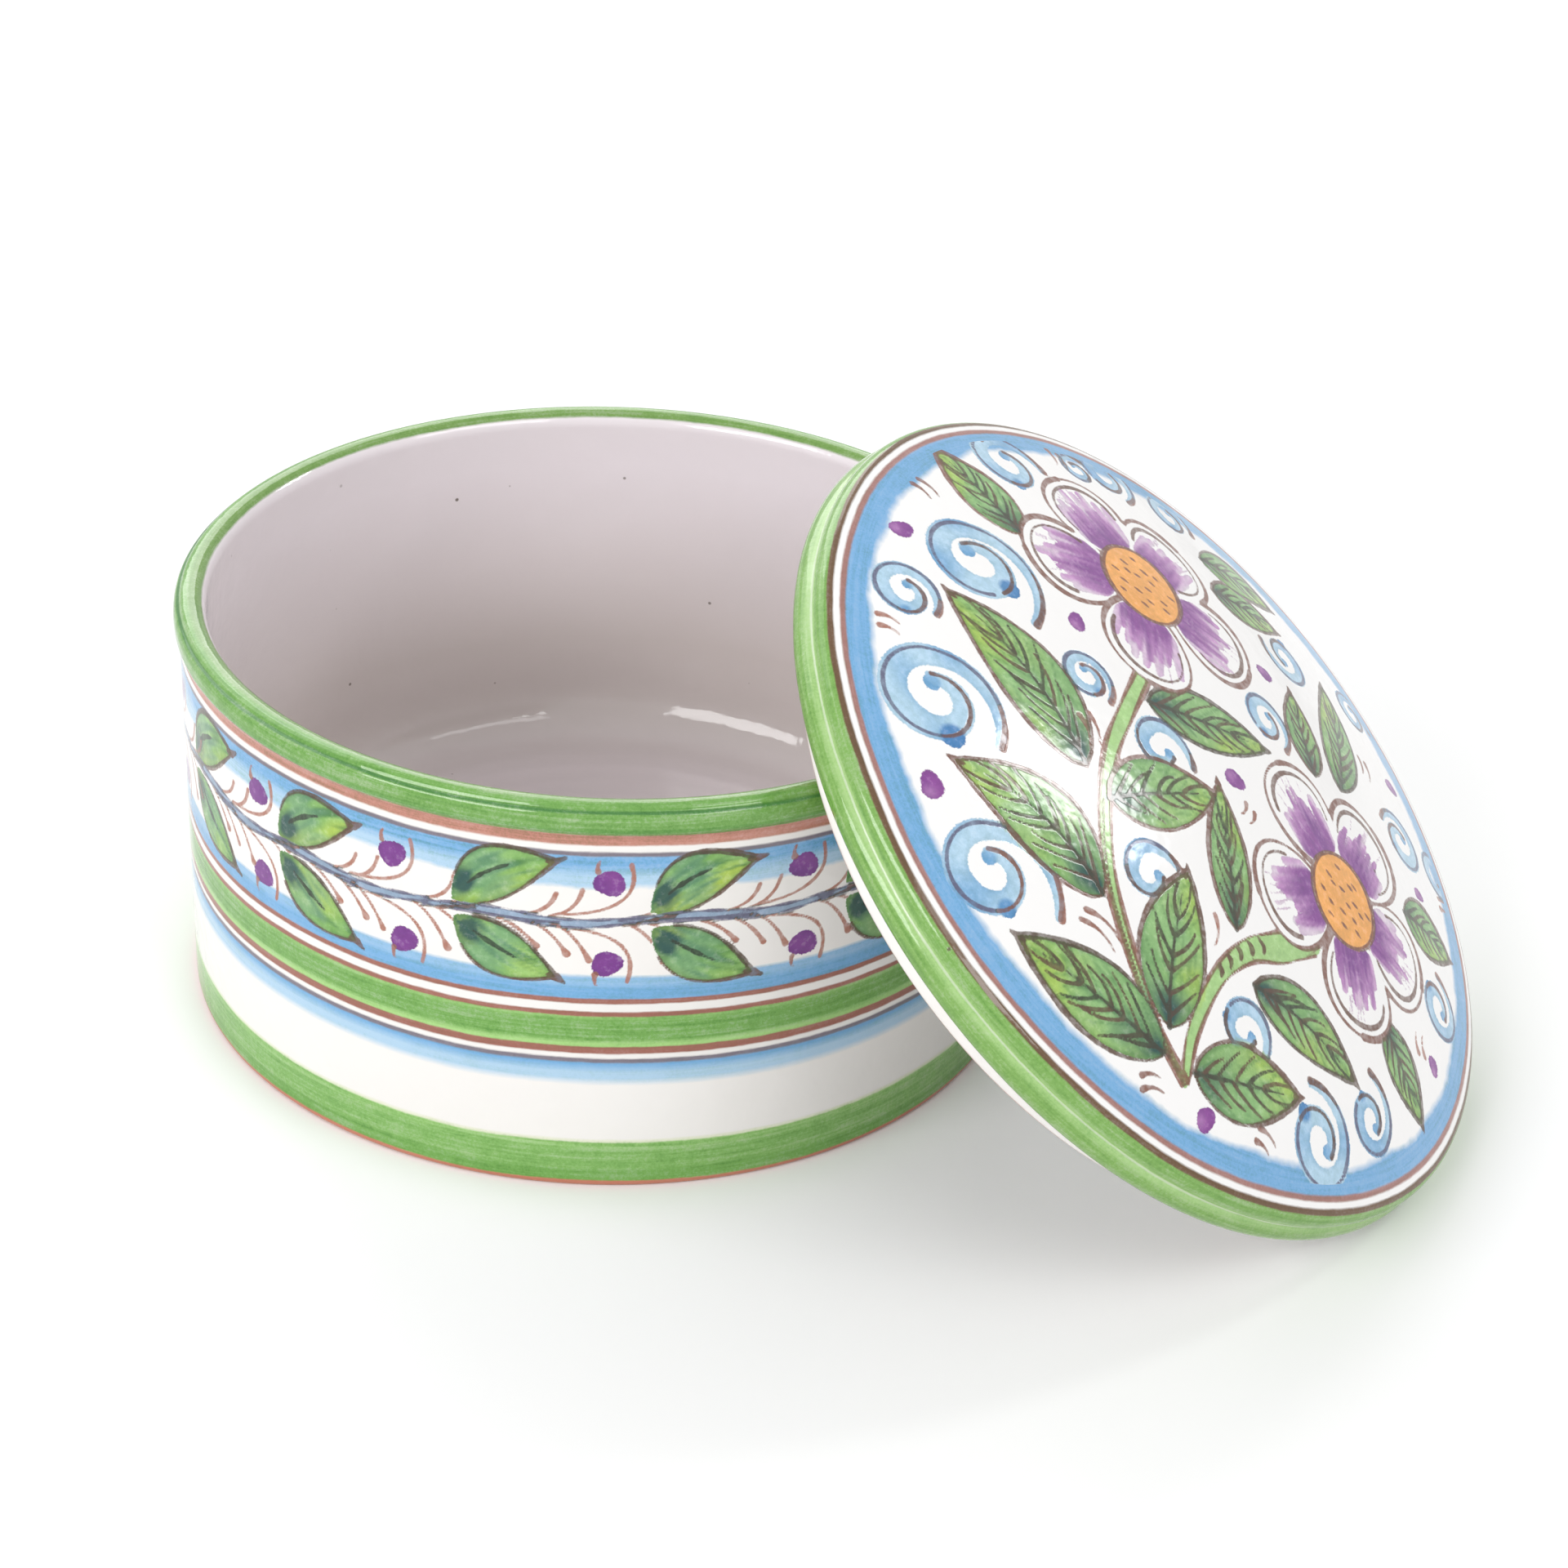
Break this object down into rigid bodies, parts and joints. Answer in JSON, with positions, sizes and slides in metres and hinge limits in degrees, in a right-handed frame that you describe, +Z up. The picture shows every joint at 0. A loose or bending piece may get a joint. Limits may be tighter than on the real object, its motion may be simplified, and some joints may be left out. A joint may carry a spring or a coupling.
{
  "type": "ceramic lidded box",
  "caption": "Round glazed ceramic box with a rolled rim, a foot ring and a loose low-domed lid, which is off and leans on the rim.",
  "frame": {"origin": "centre of the box's foot ring, on the table", "axes": "+Z up along the box's axis, +X from the box towards the lid that leans on it, +Y to the left seen along +X"},
  "size_m": [0.2009, 0.1326, 0.0929],
  "materials": {
    "box_glaze": "glossy white glaze with painted bands",
    "lid_glaze": "glossy white glaze with painted flowers"
  },
  "bodies": {
    "box": {"box_body": "box_glaze"},
    "lid": {"lid": "lid_glaze"}
  },
  "joints": [
    {"name": "lid_lift", "type": "slide", "parent": "box", "child": "lid", "axis": [0, 0, 1], "range_m": [0, 0.09]}
  ]
}
